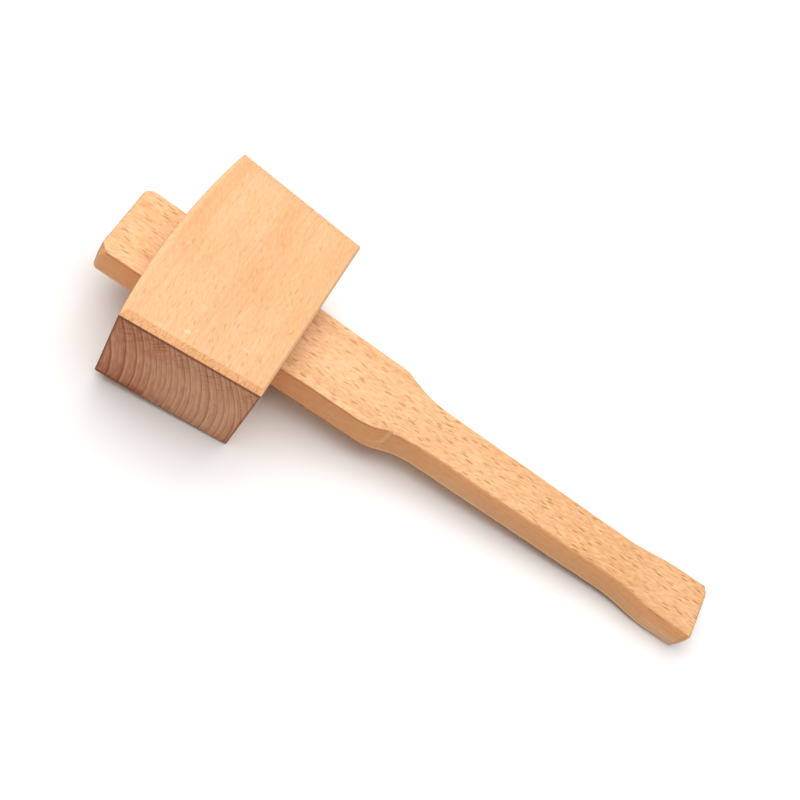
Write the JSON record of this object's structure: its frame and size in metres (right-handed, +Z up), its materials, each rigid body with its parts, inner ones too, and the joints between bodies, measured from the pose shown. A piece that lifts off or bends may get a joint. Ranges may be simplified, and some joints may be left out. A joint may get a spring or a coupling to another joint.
{
  "type": "wooden mallet",
  "caption": "Carpenter's wooden mallet with a solid splayed block head and a flat tapered handle that passes through it and stands out of the crown",
  "frame": {"origin": "middle of the head's lower side face, the face the mallet lies on", "axes": "+X runs along the handle from the crown to the grip, Y is the direction of a blow with a striking face at each end, +Z is up, from the head's lower side face to its upper one"},
  "size_m": [0.336, 0.11, 0.06],
  "materials": {
    "head_wood": "planed and sanded pale beech with a thin matt seal, end grain darker",
    "handle_wood": "sanded pale beech with a thin matt seal"
  },
  "bodies": {
    "head": {"head": "head_wood"},
    "handle": {"handle": "handle_wood"}
  },
  "joints": [
    {"name": "handle_drive_out", "type": "slide", "parent": "head", "child": "handle", "axis": [-1, 0, 0], "range_m": [0, 0.32]}
  ]
}
